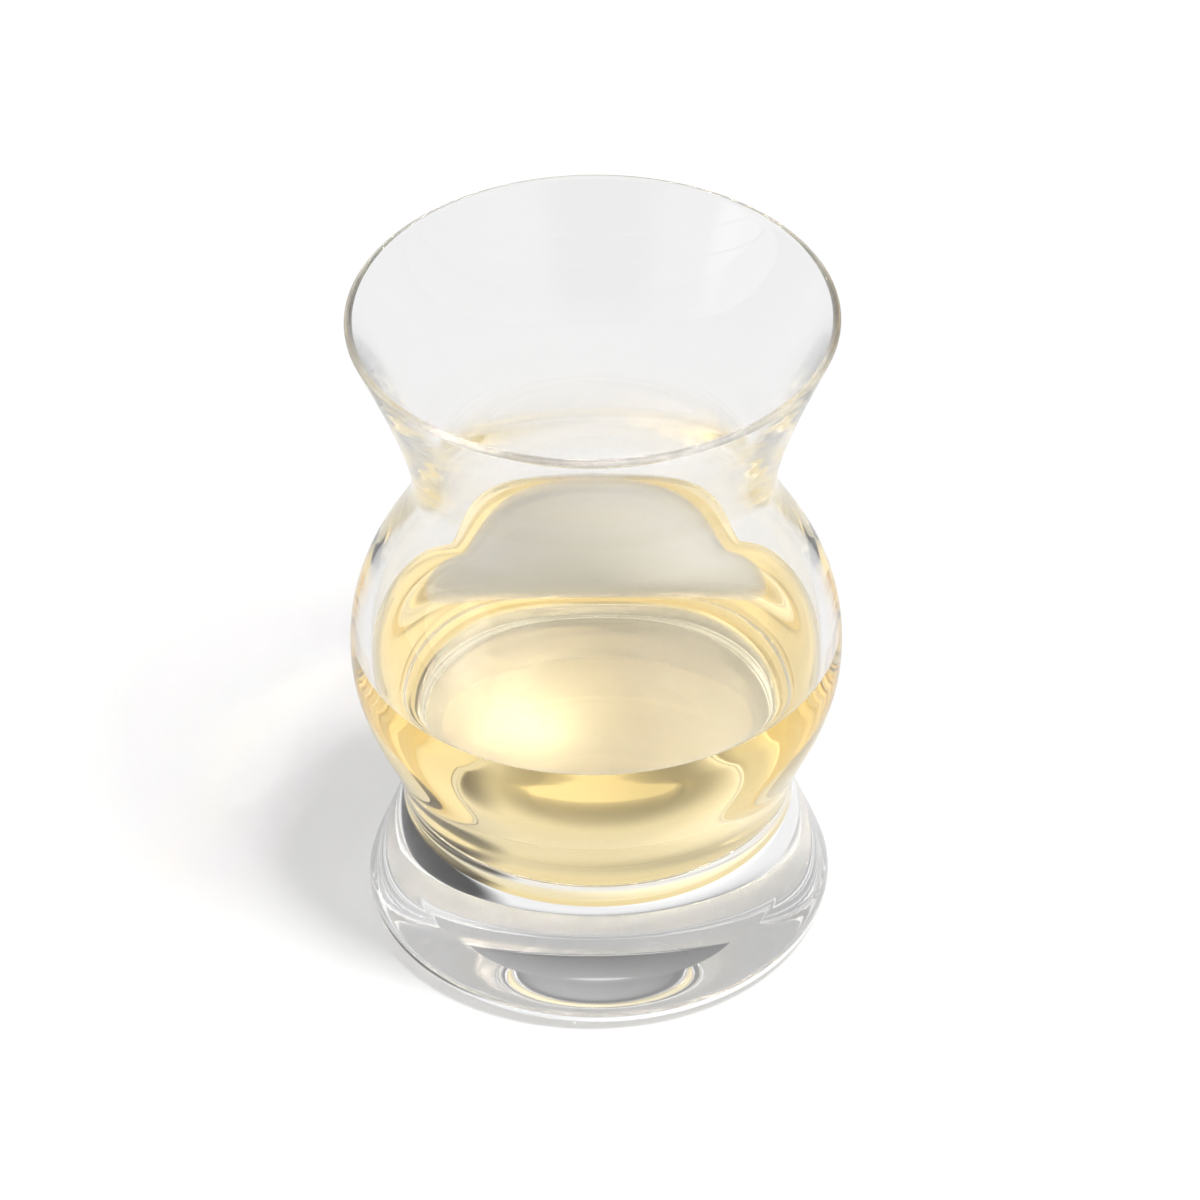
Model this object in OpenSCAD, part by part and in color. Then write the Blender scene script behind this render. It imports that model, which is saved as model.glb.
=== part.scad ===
// Tequila tasting glass: a blown bowl with a flared lip, a narrow neck and a round belly,
// standing on a heavy solid foot that meets it at the waist, with a pour of tequila in it.
// All three pieces are turned about one upright axis. Millimetres, +Z up, table at Z = 0.

/* [Lip] */
// Height of the lip, from the neck to the rim
lip_h = 28.8; // [22:0.2:38]
// Outside diameter of the rim
rim_d = 70; // [62:0.5:80]
// Thickness of the fire-polished rim
rim_wall = 1.2; // [0.8:0.1:2]
// Lean of the lip at the rim, in degrees from upright
lip_lean = 21.5; // [10:0.5:30]
// Pull of the lip's curve at the rim, as a share of the lip's height
rim_pull = 0.19; // [0.1:0.01:0.4]
// Pull of the lip's curve at the neck, as a share of the lip's height
lip_pull = 0.28; // [0.1:0.01:0.5]

/* [Neck] */
// Outside diameter of the neck
neck_d = 52.1; // [44:0.1:58]
// Thickness of the wall at the neck
neck_wall = 1.5; // [1:0.1:2.4]
// Height of the shoulder, from the widest part of the belly to the neck
shoulder_h = 29; // [22:0.2:36]
// Pull of the shoulder's curve at the neck, as a share of the shoulder's height
neck_pull = 0.32; // [0.2:0.01:0.45]
// Pull of the shoulder's curve at the belly, as a share of the shoulder's height
shoulder_pull = 0.53; // [0.4:0.01:0.55]

/* [Belly] */
// Outside diameter of the belly
belly_d = 71.4; // [66:0.2:80]
// Thickness of the wall at the widest part of the belly
belly_wall = 2.6; // [1.8:0.1:4]
// Height of the belly, from the waist to its widest part
belly_h = 26.8; // [22:0.2:32]
// Pull of the belly's curve at its widest part, as a share of the belly's height
belly_pull = 0.43; // [0.3:0.01:0.55]
// Pull of the belly's curve at the waist, as a share of the belly's height
waist_pull = 0.39; // [0.2:0.01:0.45]

/* [Well] */
// Thickness of the bowl's own bottom, from the waist to the floor of the well
floor_wall = 1.6; // [1:0.1:4]
// Thickness of the wall at the waist
low_wall = 3; // [2:0.1:4]
// Radius of the round corner between the floor of the well and its wall
corner_r = 4; // [2:0.1:8]

/* [Foot] */
// Height of the foot, from the table to the waist
foot_h = 19.4; // [16:0.2:26]
// Diameter of the waist, where the bowl stands on the foot
waist_d = 57.2; // [52:0.2:62]
// Diameter of the foot
foot_d = 68; // [64:0.2:76]
// Radius of the foot's round lower edge
foot_edge = 3.8; // [2:0.1:5]
// Pull of the foot's curve below the waist, as a share of the curve's height
flare_pull = 0.16; // [0.05:0.01:0.6]
// Pull of the foot's curve at its lower edge, as a share of the curve's height
edge_pull = 0.06; // [0.02:0.01:0.3]
// Diameter of the hollow under the foot
punt_d = 41; // [34:0.5:52]
// Depth of the hollow under the foot
punt_h = 2.2; // [1:0.1:4]

/* [Pour] */
// Depth of the tequila above the floor of the well
pour_h = 27.2; // [10:0.2:34]

/* [Hidden] */
$fn = 96;
// Straight pieces in each long curve, and in each small round edge
curve_n = 14;
edge_n = 7;
// Pull that makes a curve's quarter turn nearly round
round_pull = 0.55;

// Radii and heights of the stations that the curves run between
rim_r = rim_d / 2;
neck_r = neck_d / 2;
belly_r = belly_d / 2;
waist_r = waist_d / 2;
foot_r = foot_d / 2;
punt_r = punt_d / 2;
waist_z = foot_h;
belly_z = waist_z + belly_h;
neck_z = belly_z + shoulder_h;
rim_z = neck_z + lip_h;
floor_z = waist_z + floor_wall;
pour_z = floor_z + pour_h;

// A cubic curve from a to d, pulled towards b and c. It can be set into the glass along its
// normals, to a depth that eases from one end to the other: that is the far face of the wall.
function curve(a, b, c, d, from = 0, to = 0, n = curve_n) = [
    for (i = [0 : n])
        let (
            t = i / n,
            s = 1 - t,
            at = s * s * s * a + 3 * s * s * t * b + 3 * s * t * t * c + t * t * t * d,
            way = s * s * (b - a) + 2 * s * t * (c - b) + t * t * (d - c),
            outward = [way[1], -way[0]] / norm(way),
            depth = from + (to - from) * t * t * (3 - 2 * t)
        )
        at - depth * outward
];

// A round stretch about a centre, between two angles
function arc(centre, radius, from, to, n = edge_n) = [
    for (i = [0 : n])
        let (angle = from + (to - from) * i / n)
        centre + radius * [cos(angle), sin(angle)]
];

// A list without its first point, to carry on from the list before it
function after_first(points) = [for (i = [1 : len(points) - 1]) points[i]];

// The same list from its far end
function turned(points) = [for (i = [len(points) - 1 : -1 : 0]) points[i]];

// The points of a rising line that lie under a level, and those that lie over it
function under(points, level) = [for (p = points) if (p[1] < level) p];
function over(points, level) = [for (p = points) if (p[1] > level) p];

// Where a rising line of points crosses a level
function crossing(points, level) = [
    for (i = [0 : len(points) - 2])
        let (a = points[i], b = points[i + 1])
        if (a[1] < level && b[1] >= level) a + (b - a) * (level - a[1]) / (b[1] - a[1])
][0];

// The rim is a round bead that leans with the lip
bead_r = rim_wall / 2;
bead_centre = [rim_r - bead_r, rim_z - bead_r];
lean_up = [sin(lip_lean), cos(lip_lean)];
lean_out = [cos(lip_lean), -sin(lip_lean)];
bead = arc(bead_centre, bead_r, -lip_lean, 180 - lip_lean);

// Stations on the outside of the bowl
waist_at = [waist_r, waist_z];
belly_at = [belly_r, belly_z];
neck_at = [neck_r, neck_z];
rim_at = bead_centre + bead_r * lean_out;

// One face of the wall from the waist to the belly, at given depths in the glass
function lower_wall(waist_depth, belly_depth) = curve(
    waist_at,
    waist_at + [0, waist_pull * belly_h],
    belly_at - [0, belly_pull * belly_h],
    belly_at,
    waist_depth,
    belly_depth
);

// One face of the wall from the belly up to the rim, at given depths in the glass
function upper_wall(belly_depth, neck_depth, rim_depth) = concat(
    curve(
        belly_at,
        belly_at + [0, shoulder_pull * shoulder_h],
        neck_at - [0, neck_pull * shoulder_h],
        neck_at,
        belly_depth,
        neck_depth
    ),
    after_first(curve(
        neck_at,
        neck_at + [0, lip_pull * lip_h],
        rim_at - rim_pull * lip_h * lean_up,
        rim_at,
        neck_depth,
        rim_depth
    ))
);

// Outside of the bowl, from the waist to the rim
bowl_outside = concat(lower_wall(0, 0), after_first(upper_wall(0, 0, 0)));

// Inside of the bowl, from the middle of the floor over the round corner and up to the rim
well_side = lower_wall(low_wall, belly_wall);
corner_top = crossing(well_side, floor_z + corner_r);
well_rise = concat([corner_top], over(well_side, floor_z + corner_r));
corner_way = (well_rise[1] - corner_top) / norm(well_rise[1] - corner_top);
corner_foot = [corner_top[0] - corner_r, floor_z];
corner = curve(
    corner_foot,
    corner_foot + [round_pull * corner_r, 0],
    corner_top - round_pull * corner_r * corner_way,
    corner_top,
    n = edge_n
);
bowl_inside = concat(
    [[0, floor_z]],
    corner,
    after_first(well_rise),
    after_first(upper_wall(belly_wall, neck_wall, rim_wall))
);

// The hollow under the foot is a shallow dome, part of a sphere
dome_r = (punt_r * punt_r + punt_h * punt_h) / (2 * punt_h);
dome_centre = [0, punt_h - dome_r];
dome_angle = asin(punt_r / dome_r);
dome = arc(dome_centre, dome_r, 90, 90 - dome_angle);

// Outside of the foot, from the table to the waist
flare_h = foot_h - foot_edge;
foot_outside = concat(
    arc([foot_r - foot_edge, foot_edge], foot_edge, -90, 0),
    after_first(curve(
        [foot_r, foot_edge],
        [foot_r, foot_edge + edge_pull * flare_h],
        waist_at - [0, flare_pull * flare_h],
        waist_at
    ))
);

// Blown glass bowl, open at the rim and closed by its own flat bottom at the waist
module bowl()
    color([0.86, 0.91, 0.92, 0.35])
    rotate_extrude()
    polygon(concat([[0, waist_z]], bowl_outside, after_first(bead), after_first(turned(bowl_inside))));

// Solid glass foot, flat on top where the bowl stands and hollowed a little underneath
module foot()
    color([0.78, 0.84, 0.86, 0.5])
    rotate_extrude()
    polygon(concat(dome, foot_outside, [[0, waist_z]]));

// The pour, which fills the well up to its level
module tequila()
    color([0.96, 0.85, 0.52, 0.7])
    rotate_extrude()
    polygon(concat(under(bowl_inside, pour_z), [crossing(bowl_inside, pour_z), [0, pour_z]]));

bowl();
foot();
tequila();
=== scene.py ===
# %% [markdown]
# A tequila tasting glass: a blown bowl with a flared lip stands on a heavy solid foot, and holds a
# pour of pale gold tequila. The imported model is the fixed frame, and its boxes give the large sizes
# that the pieces below are made to. At the end the pieces take the place of its plain solids.

# %% Load the frame
import math

import bpy
from mathutils import Matrix, Vector


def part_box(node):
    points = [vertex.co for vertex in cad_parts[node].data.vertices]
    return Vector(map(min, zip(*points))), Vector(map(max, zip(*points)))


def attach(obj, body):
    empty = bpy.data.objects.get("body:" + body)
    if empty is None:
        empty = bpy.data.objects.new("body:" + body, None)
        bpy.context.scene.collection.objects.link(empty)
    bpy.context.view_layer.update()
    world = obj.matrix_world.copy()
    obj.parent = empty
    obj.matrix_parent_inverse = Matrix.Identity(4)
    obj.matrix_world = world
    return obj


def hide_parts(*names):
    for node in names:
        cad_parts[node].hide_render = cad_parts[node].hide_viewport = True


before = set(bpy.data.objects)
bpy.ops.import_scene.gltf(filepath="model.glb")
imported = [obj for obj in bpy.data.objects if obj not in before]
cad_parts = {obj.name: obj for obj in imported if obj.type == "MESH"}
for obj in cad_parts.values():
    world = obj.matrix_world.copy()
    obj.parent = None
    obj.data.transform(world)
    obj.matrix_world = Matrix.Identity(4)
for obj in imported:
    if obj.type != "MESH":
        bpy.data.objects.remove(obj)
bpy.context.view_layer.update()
MM = 0.001

# %% [markdown]
# The photograph looks down on the glass from about 40 degrees, through a long lens from over a metre
# away, so the sides hardly converge. A camera can be aimed with a Track To constraint, but a picture
# is seldom quite level: here the tilt and the small roll are named values, and the camera's three
# axes are built from them, so that the rim and the foot fall where they do in the photograph.

# %% Camera
CAMERA_DISTANCE = 1152.4 * MM
CAMERA_HEIGHT_ANGLE = math.radians(39.772)
CAMERA_TILT = math.radians(37.677)
CAMERA_YAW = math.radians(0.039)
CAMERA_ROLL = math.radians(-0.666)
FOCAL_PIXELS = 7740
IMAGE_PIXELS = 1200
SENSOR_WIDTH = 36

look = Vector((
    math.sin(CAMERA_YAW) * math.cos(CAMERA_TILT),
    math.cos(CAMERA_YAW) * math.cos(CAMERA_TILT),
    -math.sin(CAMERA_TILT),
))
level = Vector((math.cos(CAMERA_YAW), -math.sin(CAMERA_YAW), 0))
upright = level.cross(look)
right = math.cos(CAMERA_ROLL) * level + math.sin(CAMERA_ROLL) * upright
up = math.cos(CAMERA_ROLL) * upright - math.sin(CAMERA_ROLL) * level
eye = CAMERA_DISTANCE * Vector((0, -math.cos(CAMERA_HEIGHT_ANGLE), math.sin(CAMERA_HEIGHT_ANGLE)))

bpy.ops.object.select_all(action="DESELECT")
bpy.ops.object.camera_add(location=eye)
camera = bpy.context.object
camera.name = "photo_camera"
camera.matrix_world = Matrix.Translation(eye) @ Matrix((right, up, -look)).transposed().to_4x4()
camera.data.sensor_width = SENSOR_WIDTH
camera.data.lens = SENSOR_WIDTH * FOCAL_PIXELS / IMAGE_PIXELS
bpy.context.scene.camera = camera
print("camera lens:", round(camera.data.lens, 1), "mm")

# %% [markdown]
# Every piece of the glass is round, so its shape is one outline turned about the upright axis.
# The outline runs between a few stations: the foot, the waist, the belly, the neck and the rim.
# The frame's boxes give the large sizes, and what they can't show is named here in millimetres.

# %% Stations of the outline
_, foot_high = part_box("foot")
_, bowl_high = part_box("bowl")
pour_low, pour_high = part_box("tequila")
FOOT_R = foot_high.x
WAIST_Z = foot_high.z
WAIST_R = 28.6 * MM
BELLY_R = bowl_high.x
BELLY_Z = 46.2 * MM
NECK_R = 26.05 * MM
NECK_Z = 75.2 * MM
RIM_R = 35 * MM
RIM_Z = bowl_high.z
belly_h = BELLY_Z - WAIST_Z
shoulder_h = NECK_Z - BELLY_Z
lip_h = RIM_Z - NECK_Z
heights = {"belly": belly_h, "shoulder": shoulder_h, "lip": lip_h}
print("heights in mm:", {name: round(height / MM, 1) for name, height in heights.items()})

# %% [markdown]
# Glass that was worked hot has hardly a straight line: each stretch between two stations is a cubic
# curve, which leaves one station in one direction and reaches the next in another. The inside of a
# blown wall follows the outside, so the same curve is set in along its own normals, by a depth that
# eases from one end to the other. The helpers give points as pairs of radius and height.

# %% Curves
CURVE_STEPS = 36
EDGE_STEPS = 24


def curve(start, pull_start, pull_end, end, first_depth=0, last_depth=0, steps=CURVE_STEPS):
    """Points on a cubic curve, set into the glass by a depth that eases from the first to the last."""
    a, b, c, d = (Vector(p) for p in (start, pull_start, pull_end, end))
    points = []
    for i in range(steps + 1):
        t = i / steps
        s = 1 - t
        at = s ** 3 * a + 3 * s * s * t * b + 3 * s * t * t * c + t ** 3 * d
        way = (s * s * (b - a) + 2 * s * t * (c - b) + t * t * (d - c)).normalized()
        depth = first_depth + (last_depth - first_depth) * t * t * (3 - 2 * t)
        points.append(at - depth * Vector((way.y, -way.x)))
    return points


def arc(centre, radius, first, last, steps=EDGE_STEPS):
    """Points on a round stretch between two angles."""
    angles = [first + (last - first) * i / steps for i in range(steps + 1)]
    return [Vector(centre) + radius * Vector((math.cos(a), math.sin(a))) for a in angles]


def chain(*stretches):
    """One line of points from several, without the points that two stretches share."""
    points = list(stretches[0])
    for stretch in stretches[1:]:
        points += stretch[1:]
    return points


print("a long curve has", CURVE_STEPS, "steps, a round edge", EDGE_STEPS)

# %% [markdown]
# To turn an outline, one vertex is drawn along it by extruding, and the line is then spun a full turn
# about the axis, as on a glassmaker's lathe. A Screw modifier would do the same, but Spin leaves a
# plain mesh at once. The seam and the two poles are merged, and the faces are turned outwards.
# Smooth shading stops at real edges, so the flat floors stay flat in the reflections.

# %% Turning
TURN_STEPS = 144
MERGE = 0.0001 * MM
SMOOTH_ANGLE = math.radians(10)


def turn(name, outline):
    """A closed round piece from an outline of radius and height, both ends on the axis."""
    bpy.ops.object.select_all(action="DESELECT")
    bpy.ops.mesh.primitive_plane_add(size=MM)
    piece = bpy.context.object
    piece.name = piece.data.name = name
    bpy.ops.object.mode_set(mode="EDIT")
    bpy.ops.mesh.select_all(action="SELECT")
    bpy.ops.mesh.merge(type="CENTER")
    here = Vector((0, 0))
    for number, point in enumerate(outline):
        step = (point.x - here.x, 0, point.y - here.y)
        if number:
            bpy.ops.mesh.extrude_region_move(TRANSFORM_OT_translate={"value": step})
        else:
            bpy.ops.transform.translate(value=step)
        here = point
    bpy.ops.mesh.select_all(action="SELECT")
    bpy.ops.mesh.spin(steps=TURN_STEPS, angle=2 * math.pi, center=(0, 0, 0), axis=(0, 0, 1))
    bpy.ops.mesh.select_all(action="SELECT")
    bpy.ops.mesh.remove_doubles(threshold=MERGE)
    bpy.ops.mesh.normals_make_consistent(inside=False)
    bpy.ops.object.mode_set(mode="OBJECT")
    bpy.ops.object.shade_smooth_by_angle(angle=SMOOTH_ANGLE)
    print(name, "has", len(piece.data.polygons), "faces")
    return piece


# %% [markdown]
# The foot is a heavy lump of solid glass. Underneath it is hollowed to a shallow dome, so that it
# stands on a ring and doesn't rock. Its lower edge is round, and its side sweeps in to the waist.
# The bowl stands on it with a film of air between them, thinner than a hair, and that film is what
# mirrors the drink above it. So the top of the foot lies just under the bottom of the bowl.

# %% Foot
PUNT_R = 20.5 * MM
PUNT_H = 1 * MM
FOOT_EDGE = 3.8 * MM
EDGE_PULL = 0.06
FLARE_PULL = 0.16
AIR_FILM = 0.03 * MM
FILM_EDGE = 0.05 * MM

dome_r = (PUNT_R ** 2 + PUNT_H ** 2) / (2 * PUNT_H)
dome_angle = math.asin(PUNT_R / dome_r)
punt = arc((0, PUNT_H - dome_r), dome_r, math.pi / 2, math.pi / 2 - dome_angle)
rest_ring = [Vector((PUNT_R, 0)), Vector((FOOT_R - FOOT_EDGE, 0))]
lower_edge = arc((FOOT_R - FOOT_EDGE, FOOT_EDGE), FOOT_EDGE, -math.pi / 2, 0)
flare_h = WAIST_Z - FOOT_EDGE
flare = curve(
    (FOOT_R, FOOT_EDGE), (FOOT_R, FOOT_EDGE + EDGE_PULL * flare_h),
    (WAIST_R, WAIST_Z - FLARE_PULL * flare_h), (WAIST_R, WAIST_Z),
)
film_z = WAIST_Z - AIR_FILM
foot_top = [flare[-1], Vector((WAIST_R - FILM_EDGE, film_z)), Vector((0, film_z))]
foot = turn("glass_foot", chain(punt, rest_ring, lower_edge, flare, foot_top))

# %% [markdown]
# The bowl's wall is a thin skin of glass between two nearly parallel faces: thick at the waist, and
# thinner all the way up to the rim. Both faces come from the same two helpers, at different depths,
# because a wall that wedges would bend the light the wrong way. An inside drawn by hand, point by
# point, could easily wedge.

# %% Wall of the bowl
LOW_WALL = 3 * MM
BELLY_WALL = 2.6 * MM
NECK_WALL = 2 * MM
RIM_WALL = 1.2 * MM
LIP_LEAN = math.radians(21.5)
WAIST_PULL = 0.39
BELLY_PULL = 0.43
SHOULDER_PULL = 0.53
NECK_PULL = 0.32
LIP_PULL = 0.28
RIM_PULL = 0.19

bead_r = RIM_WALL / 2
bead_centre = Vector((RIM_R - bead_r, RIM_Z - bead_r))
lean_up = Vector((math.sin(LIP_LEAN), math.cos(LIP_LEAN)))
lean_out = Vector((math.cos(LIP_LEAN), -math.sin(LIP_LEAN)))
rim_end = bead_centre + bead_r * lean_out


def lower_wall(waist_depth, belly_depth):
    """One face of the wall, from the waist up to the belly."""
    return curve(
        (WAIST_R, WAIST_Z), (WAIST_R, WAIST_Z + WAIST_PULL * belly_h),
        (BELLY_R, BELLY_Z - BELLY_PULL * belly_h), (BELLY_R, BELLY_Z),
        waist_depth, belly_depth,
    )


def upper_wall(belly_depth, neck_depth, rim_depth):
    """One face of the wall, from the belly up over the shoulder and the neck to the rim."""
    shoulder = curve(
        (BELLY_R, BELLY_Z), (BELLY_R, BELLY_Z + SHOULDER_PULL * shoulder_h),
        (NECK_R, NECK_Z - NECK_PULL * shoulder_h), (NECK_R, NECK_Z),
        belly_depth, neck_depth,
    )
    lip = curve(
        (NECK_R, NECK_Z), (NECK_R, NECK_Z + LIP_PULL * lip_h),
        rim_end - RIM_PULL * lip_h * lean_up, rim_end,
        neck_depth, rim_depth,
    )
    return chain(shoulder, lip)


print("wall from", LOW_WALL / MM, "mm at the waist to", RIM_WALL / MM, "mm at the rim")

# %% [markdown]
# The well is the inside of the bowl. Its floor is flat and meets the wall in a round corner. The same
# helper also gives the well a little deeper in the glass, which the tequila needs later on.
# The rim was melted round in a flame: it is a small bead that leans with the lip. The inside gets one
# more point at the level of the pour, so that an edge runs round it where the wet wall ends.

# %% Bowl
CORNER_R = 4 * MM
FLOOR_Z = pour_low.z
POUR_Z = pour_high.z
ROUND_PULL = 0.55


def well_wall(grow=0):
    """The inside from the edge of the flat floor up to the belly, set deeper into the glass by grow."""
    wall = [p for p in lower_wall(LOW_WALL - grow, BELLY_WALL - grow) if p.y > FLOOR_Z + CORNER_R]
    way = (wall[1] - wall[0]).normalized()
    floor_edge = Vector((wall[0].x - CORNER_R, FLOOR_Z - grow))
    corner = curve(
        floor_edge, floor_edge + Vector((ROUND_PULL * CORNER_R, 0)),
        wall[0] - ROUND_PULL * CORNER_R * way, wall[0], steps=EDGE_STEPS,
    )
    return chain(corner, wall)


def cut_at(points, height):
    """A rising line of points with one more where it crosses a height, and that point."""
    above = next(i for i, p in enumerate(points) if p.y > height)
    a, b = points[above - 1], points[above]
    cut = a.lerp(b, (height - a.y) / (b.y - a.y))
    return points[:above] + [cut] + points[above:], cut


bottom = [Vector((0, WAIST_Z)), Vector((WAIST_R, WAIST_Z))]
outside = chain(lower_wall(0, 0), upper_wall(0, 0, 0))
bead = arc(bead_centre, bead_r, -LIP_LEAN, math.pi - LIP_LEAN)
inside = chain(well_wall(), upper_wall(BELLY_WALL, NECK_WALL, RIM_WALL))
inside, contact = cut_at(inside, POUR_Z)
well_floor = [inside[0], Vector((0, FLOOR_Z))]
bowl = turn("glass_bowl", chain(bottom, outside, bead, inside[::-1], well_floor))

# %% [markdown]
# The tequila fills the well up to its level, and climbs a little at the wall: that is the meniscus.
# It reaches a tenth of a millimetre into the glass, because a gap there would be a film of air, which
# mirrors, and two faces in the same place would flicker. Its outline comes from the well's helper.

# %% Tequila
OVERLAP = 0.1 * MM
MENISCUS_RISE = 0.3 * MM
MENISCUS_RUN = 2 * MM
# Pulls of the meniscus's curve at the wall and on the level, as shares of its run and its rise
WALL_RUN_PULL = 0.15
WALL_RISE_PULL = 0.75
LEVEL_RUN_PULL = 0.5

wet_face = chain(
    well_wall(OVERLAP),
    upper_wall(BELLY_WALL - OVERLAP, NECK_WALL - OVERLAP, RIM_WALL - OVERLAP),
)
wet_face, wet_edge = cut_at(wet_face, POUR_Z)
wet_wall = [p for p in wet_face if p.y <= POUR_Z]
surface_z = POUR_Z - MENISCUS_RISE
meniscus = curve(
    contact, contact - Vector((WALL_RUN_PULL * MENISCUS_RUN, WALL_RISE_PULL * MENISCUS_RISE)),
    (contact.x - LEVEL_RUN_PULL * MENISCUS_RUN, surface_z), (contact.x - MENISCUS_RUN, surface_z),
    steps=EDGE_STEPS,
)
pour_floor = [Vector((0, wet_wall[0].y)), wet_wall[0]]
pour_top = [meniscus[-1], Vector((0, surface_z))]
tequila = turn("tequila_pour", chain(pour_floor, wet_wall, [wet_edge, contact], meniscus, pour_top))

# %% [markdown]
# Glass that was shaped hot is never quite even: a faint long wave runs over it, and so does one over
# the face of a liquid that was just set down. Both are one node group, a soft noise that feeds a Bump,
# and each material gives it its own size and depth. Modelled waves would need a far denser mesh.

# %% Wave group
WAVE_DETAIL = 1

wave = bpy.data.node_groups.new("soft_wave", "ShaderNodeTree")
for name in ("Scale", "Depth"):
    wave.interface.new_socket(name, in_out="INPUT", socket_type="NodeSocketFloat")
wave.interface.new_socket("Normal", in_out="OUTPUT", socket_type="NodeSocketVector")
nodes, links = wave.nodes, wave.links
given = nodes.new("NodeGroupInput")
result = nodes.new("NodeGroupOutput")
place = nodes.new("ShaderNodeTexCoord")
swell = nodes.new("ShaderNodeTexNoise")
swell.inputs["Detail"].default_value = WAVE_DETAIL
bump = nodes.new("ShaderNodeBump")
bump.inputs["Strength"].default_value = 1
links.new(place.outputs["Object"], swell.inputs["Vector"])
links.new(given.outputs["Scale"], swell.inputs["Scale"])
links.new(swell.outputs["Fac"], bump.inputs["Height"])
links.new(given.outputs["Depth"], bump.inputs["Distance"])
links.new(bump.outputs["Normal"], result.inputs["Normal"])
print("group", wave.name, "has", len(nodes), "nodes")

# %% [markdown]
# Clear glass doesn't tint the light, it bends it: full transmission, and an index of refraction of
# 1.5. The thin bowl was worked by hand and waves more than the solid foot, so there are two
# materials from one helper. A tint in the base colour would grey the thin walls, so it stays white.

# %% Glass materials
WHITE = (1, 1, 1, 1)
GLASS_INDEX = 1.5
# The wave on each skin: about how many swells to a metre, and their depth
BOWL_WAVE = (45, 0.012 * MM)
FOOT_WAVE = (30, 0.008 * MM)


def new_material(name):
    """A material with its node tree switched on, with its nodes and links."""
    material = bpy.data.materials.new(name)
    material.use_nodes = True
    return material, material.node_tree.nodes, material.node_tree.links


def clear_material(name, index, wave_scale, wave_depth):
    """A clear, colourless material that bends light, with a faint wave on its skin."""
    material, nodes, links = new_material(name)
    shader = nodes["Principled BSDF"]
    shader.inputs["Base Color"].default_value = WHITE
    shader.inputs["Roughness"].default_value = 0
    shader.inputs["IOR"].default_value = index
    shader.inputs["Transmission Weight"].default_value = 1
    skin = nodes.new("ShaderNodeGroup")
    skin.node_tree = wave
    skin.inputs["Scale"].default_value = wave_scale
    skin.inputs["Depth"].default_value = wave_depth
    links.new(skin.outputs["Normal"], shader.inputs["Normal"])
    print("material", name, "has an index of", round(index, 3))
    return material


bowl.data.materials.append(clear_material("blown_glass", GLASS_INDEX, *BOWL_WAVE))
foot.data.materials.append(clear_material("solid_glass", GLASS_INDEX, *FOOT_WAVE))

# %% [markdown]
# Where the drink wets the glass, light passes from one to the other and is bent far less than at air:
# only by the ratio of their two indices. So the wet faces of the well get a material of their own.
# They are picked by their place and normal, and the slot is assigned to them in edit mode.

# %% Wet glass
TEQUILA_INDEX = 1.36


def assign(piece, material, chosen):
    """Adds a material to a piece and gives it to the faces chosen by their centre and normal."""
    piece.data.materials.append(material)
    bpy.ops.object.select_all(action="DESELECT")
    piece.select_set(True)
    bpy.context.view_layer.objects.active = piece
    bpy.ops.object.mode_set(mode="EDIT")
    bpy.ops.mesh.select_mode(type="FACE")
    bpy.ops.mesh.select_all(action="DESELECT")
    bpy.ops.object.mode_set(mode="OBJECT")
    for face in piece.data.polygons:
        face.select = chosen(face.center, face.normal)
    piece.active_material_index = len(piece.data.materials) - 1
    bpy.ops.object.mode_set(mode="EDIT")
    bpy.ops.object.material_slot_assign()
    bpy.ops.object.mode_set(mode="OBJECT")
    print(material.name, "on", sum(face.material_index > 0 for face in piece.data.polygons), "faces")


def is_wet(centre, normal):
    """Whether a face of the bowl looks into the well and lies under the pour's level."""
    faces_in = normal.z - (normal.x * centre.x + normal.y * centre.y) / BELLY_R > 0
    return faces_in and centre.z < POUR_Z


wet_glass = clear_material("wet_glass", GLASS_INDEX / TEQUILA_INDEX, *BOWL_WAVE)
assign(bowl, wet_glass, is_wet)

# %% [markdown]
# A rested tequila is pale gold, because it takes a little blue, and less green, out of the light on
# its way through. That is a Volume Absorption: the deeper the drink, the stronger the colour, so the
# rim of the pool is pale and the belly is golden. A coloured surface would look the same all over.
# Its open face bends light as a liquid does. Its side lies in the glass, whose wet faces have bent the
# light already, so there it has an index of 1 and only ends the colour. A face attribute tells the
# shader which is which. Two materials wouldn't do: a colour that starts in one has to end in it.

# %% Tequila material
GOLD = (0.98, 0.78, 0.12, 1)
GOLD_PER_METRE = 17
TEQUILA_WAVE = (70, 0.006 * MM)
# A face whose normal rises by more than this is part of the open face
OPEN_RISE = 0.3
NO_BENDING = 1

bending = tequila.data.attributes.new("bending", "FLOAT", "FACE")
for face in tequila.data.polygons:
    bending.data[face.index].value = TEQUILA_INDEX if face.normal.z > OPEN_RISE else NO_BENDING

pale_tequila = clear_material("pale_tequila", TEQUILA_INDEX, *TEQUILA_WAVE)
nodes, links = pale_tequila.node_tree.nodes, pale_tequila.node_tree.links
index = nodes.new("ShaderNodeAttribute")
index.attribute_name = bending.name
links.new(index.outputs["Fac"], nodes["Principled BSDF"].inputs["IOR"])
absorb = nodes.new("ShaderNodeVolumeAbsorption")
absorb.inputs["Color"].default_value = GOLD
absorb.inputs["Density"].default_value = GOLD_PER_METRE
links.new(absorb.outputs["Volume"], nodes["Material Output"].inputs["Volume"])
tequila.data.materials.append(pale_tequila)

# %% [markdown]
# The glass stands on a plain pale table, which runs out of the picture on all sides. Light that has
# come through the glass falls on it too, so the table is a rough, unshiny surface that shows the
# shadow and the bright spot in it. Its own colour is a mid grey, because the main light is strong.
# It also shines a little by itself, which keeps the shadow pale, and a little more for the camera's
# own rays, which makes it white in the picture. It lies a hair below the foot, so that the two share
# no plane.

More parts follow.
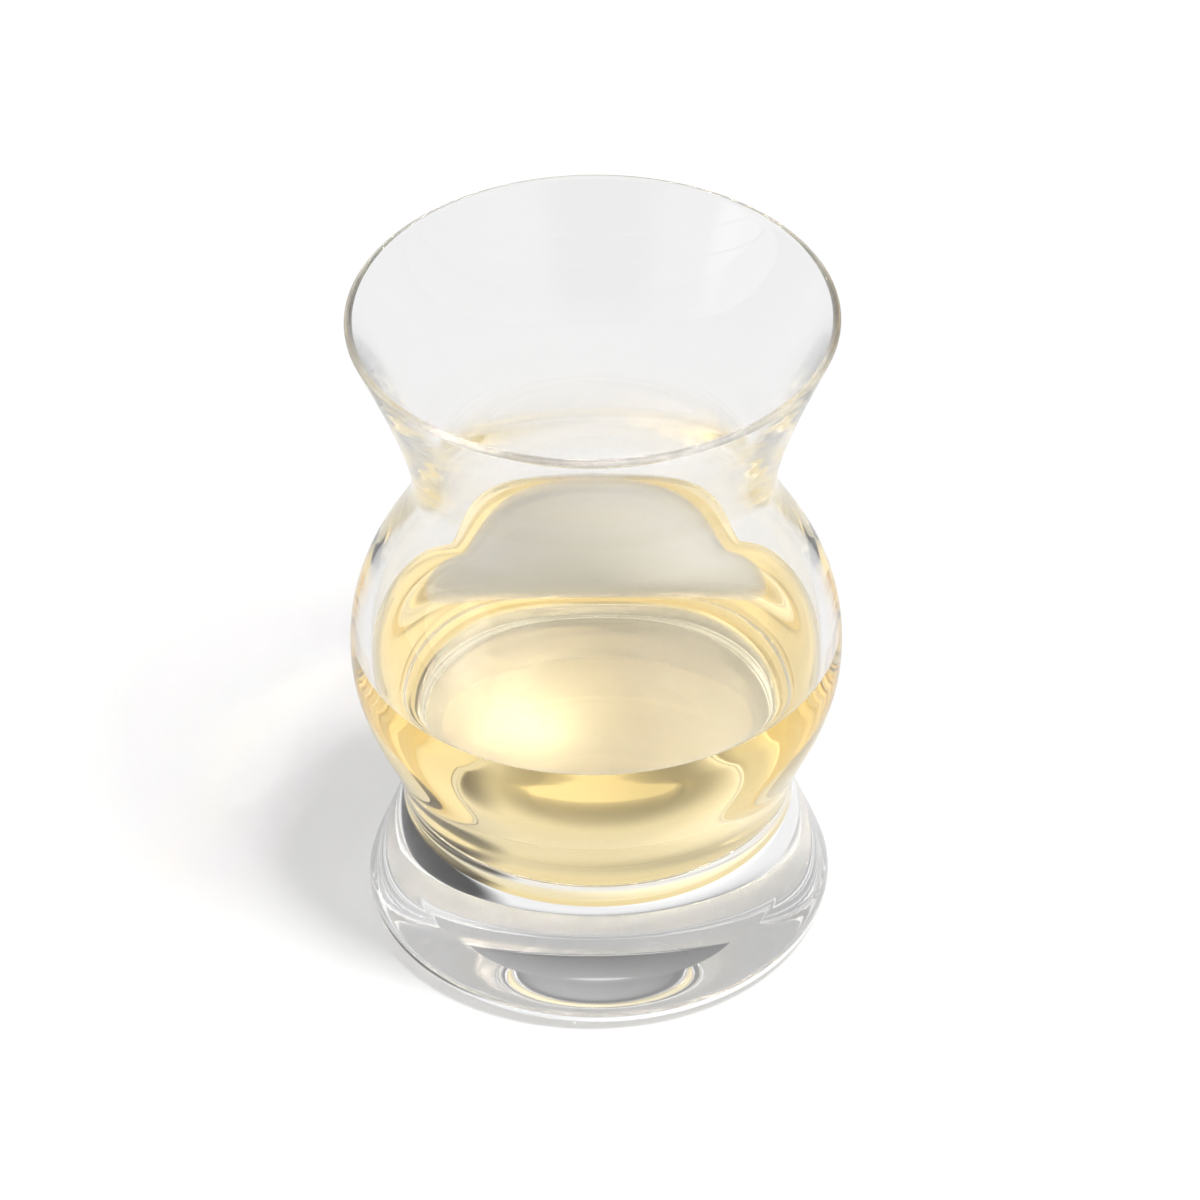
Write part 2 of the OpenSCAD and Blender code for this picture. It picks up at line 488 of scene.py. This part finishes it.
# %% Table
TABLE_SIZE = 6
TABLE_GAP = 0.06 * MM
TABLE_GREY = 0.27
OWN_LIGHT = 0.3
CAMERA_LIFT = 0.16


def math_node(nodes, links, operation, *values):
    """A Math node whose inputs are numbers or the outputs of other nodes; gives its own output."""
    node = nodes.new("ShaderNodeMath")
    node.operation = operation
    for socket, value in zip(node.inputs, values):
        if isinstance(value, (int, float)):
            socket.default_value = value
        else:
            links.new(value, socket)
    return node.outputs["Value"]


bpy.ops.object.select_all(action="DESELECT")
bpy.ops.mesh.primitive_plane_add(size=TABLE_SIZE, location=(0, 0, -TABLE_GAP))
table = bpy.context.object
table.name = "table"
pale_table, nodes, links = new_material("pale_table")
shader = nodes["Principled BSDF"]
shader.inputs["Base Color"].default_value = (TABLE_GREY, TABLE_GREY, TABLE_GREY, 1)
shader.inputs["Roughness"].default_value = 1
shader.inputs["Specular IOR Level"].default_value = 0
shader.inputs["Emission Color"].default_value = WHITE
ray = nodes.new("ShaderNodeLightPath").outputs
lift = math_node(nodes, links, "MULTIPLY_ADD", ray["Is Camera Ray"], CAMERA_LIFT, OWN_LIGHT)
links.new(lift, shader.inputs["Emission Strength"])
table.data.materials.append(pale_table)
print("table at", round(table.location.z / MM, 2), "mm")

# %% [markdown]
# What clear glass shows is mostly the room behind and around it, so the room is half of its look.
# Here it is painted on the world: pale walls, a dark ceiling, and round patches with soft edges for
# what stands in the studio. A picture of a real room would do as well, but a few named patches can be
# moved by their heading until each band in the foot and in the belly falls into place. The camera
# itself sees plain white past the edge of the table.

# %% Room
WALLS = 0.9
# Each patch: azimuth, elevation, radius and softness in degrees, then its brightness
CEILING = (105, 74, 28, 12, 0.22)
LEFT_WINDOW = (180, 5, 26, 12, 1.35)
HIGH_SCREEN = (-45, 46, 26, 22, 1.2)
LOW_SHADE = (-95, 3, 22, 12, 0.45)
DARK_PANEL = (42, 31, 22, 4, 0.03)
SIDE_WINDOW = (-157, 8, 7, 2, 1.7)
BACK_GLOW = (115, 0, 26, 12, 1.25)
PLAIN_WHITE = 1


def heading(azimuth, elevation):
    """The direction to a place in the room, in degrees; 0 is to the right and 90 is behind the glass."""
    a, e = math.radians(azimuth), math.radians(elevation)
    return Vector((math.cos(a) * math.cos(e), math.sin(a) * math.cos(e), math.sin(e)))


studio = bpy.data.worlds.new("studio")
bpy.context.scene.world = studio
studio.use_nodes = True
nodes, links = studio.node_tree.nodes, studio.node_tree.links
room = nodes["Background"]
direction = nodes.new("ShaderNodeTexCoord")


def patch(below, azimuth, elevation, radius, softness, brightness):
    """The room with a round patch set over what is below: its size is in degrees, with a soft edge."""
    near = nodes.new("ShaderNodeVectorMath")
    near.operation = "DOT_PRODUCT"
    near.inputs[1].default_value = heading(azimuth, elevation)
    links.new(direction.outputs["Generated"], near.inputs[0])
    share = nodes.new("ShaderNodeMapRange")
    share.interpolation_type = "SMOOTHSTEP"
    share.inputs["From Min"].default_value = math.cos(math.radians(radius + softness))
    share.inputs["From Max"].default_value = math.cos(math.radians(max(radius - softness, 0)))
    links.new(near.outputs["Value"], share.inputs["Value"])
    mix = nodes.new("ShaderNodeMix")
    mix.inputs["B"].default_value = brightness
    links.new(share.outputs["Result"], mix.inputs["Factor"])
    if isinstance(below, float):
        mix.inputs["A"].default_value = below
    else:
        links.new(below, mix.inputs["A"])
    return mix.outputs["Result"]


light = WALLS
for values in (CEILING, LEFT_WINDOW, HIGH_SCREEN, LOW_SHADE, DARK_PANEL, SIDE_WINDOW, BACK_GLOW):
    light = patch(light, *values)
seen = nodes.new("ShaderNodeLightPath")
plain = nodes.new("ShaderNodeMix")
plain.inputs["B"].default_value = PLAIN_WHITE
links.new(seen.outputs["Is Camera Ray"], plain.inputs["Factor"])
links.new(light, plain.inputs["A"])
links.new(plain.outputs["Result"], room.inputs["Color"])
print("the room has", sum(node.type == "MAP_RANGE" for node in nodes), "patches")

# %% [markdown]
# The main light is a soft panel high on the right, towards the camera. It throws the shadow to the
# left and back and, through the drink, the bright spot on the table. A lamp would do the same, but the
# glass would show its square image many times over. So the panel is a plane that shines, and Light
# Path takes it away from rays that have met nothing but glass and drink on their way from the eye.
# A ray that has left the table still meets it, and that is the light of the bright spot.

# %% Key light
KEY_AZIMUTH = -42
KEY_ELEVATION = 66
KEY_DISTANCE = 3
KEY_SIZE = 0.62
KEY_STRENGTH = 122

aim = Vector((0, 0, RIM_Z / 2))
spot = aim + KEY_DISTANCE * heading(KEY_AZIMUTH, KEY_ELEVATION)
bpy.ops.object.select_all(action="DESELECT")
bpy.ops.mesh.primitive_plane_add(size=KEY_SIZE, location=spot)
key = bpy.context.object
key.name = "key_panel"
key.rotation_euler = (aim - spot).to_track_quat("Z", "Y").to_euler()
panel_light, nodes, links = new_material("panel_light")
nodes.remove(nodes["Principled BSDF"])
shine = nodes.new("ShaderNodeEmission")
links.new(shine.outputs["Emission"], nodes["Material Output"].inputs["Surface"])
ray = nodes.new("ShaderNodeLightPath").outputs
in_glass = math_node(nodes, links, "MAXIMUM", ray["Is Transmission Ray"], ray["Is Glossy Ray"])
off_table = math_node(nodes, links, "MINIMUM", ray["Diffuse Depth"], 1)
glass_alone = math_node(nodes, links, "SUBTRACT", in_glass, off_table)
hidden = math_node(nodes, links, "MAXIMUM", glass_alone, 0)
shown = math_node(nodes, links, "SUBTRACT", 1, hidden)
strength = math_node(nodes, links, "MULTIPLY", shown, KEY_STRENGTH)
links.new(strength, shine.inputs["Strength"])
key.data.materials.append(panel_light)
print("key panel at", [round(v, 2) for v in spot], "m")

# %% [markdown]
# Each piece rides on the glass's one body and takes the place of the solid it dresses. Light crosses
# a dozen faces on its way through, so the renderer is given enough bounces. It is told not to blur or
# cap the bright paths, which are the glass's look.

# %% Finish
for piece, node, slot in (
    (bowl, "bowl", "blown_glass"),
    (foot, "foot", "solid_glass"),
    (tequila, "tequila", "tequila"),
):
    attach(piece, "root")
    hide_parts(node)

LIGHT_BOUNCES = 96
GLOSSY_BOUNCES = 32
scene = bpy.context.scene
scene.view_settings.view_transform = "Standard"
scene.cycles.max_bounces = LIGHT_BOUNCES
scene.cycles.transmission_bounces = LIGHT_BOUNCES
scene.cycles.glossy_bounces = GLOSSY_BOUNCES
scene.cycles.blur_glossy = 0
scene.cycles.sample_clamp_indirect = 0
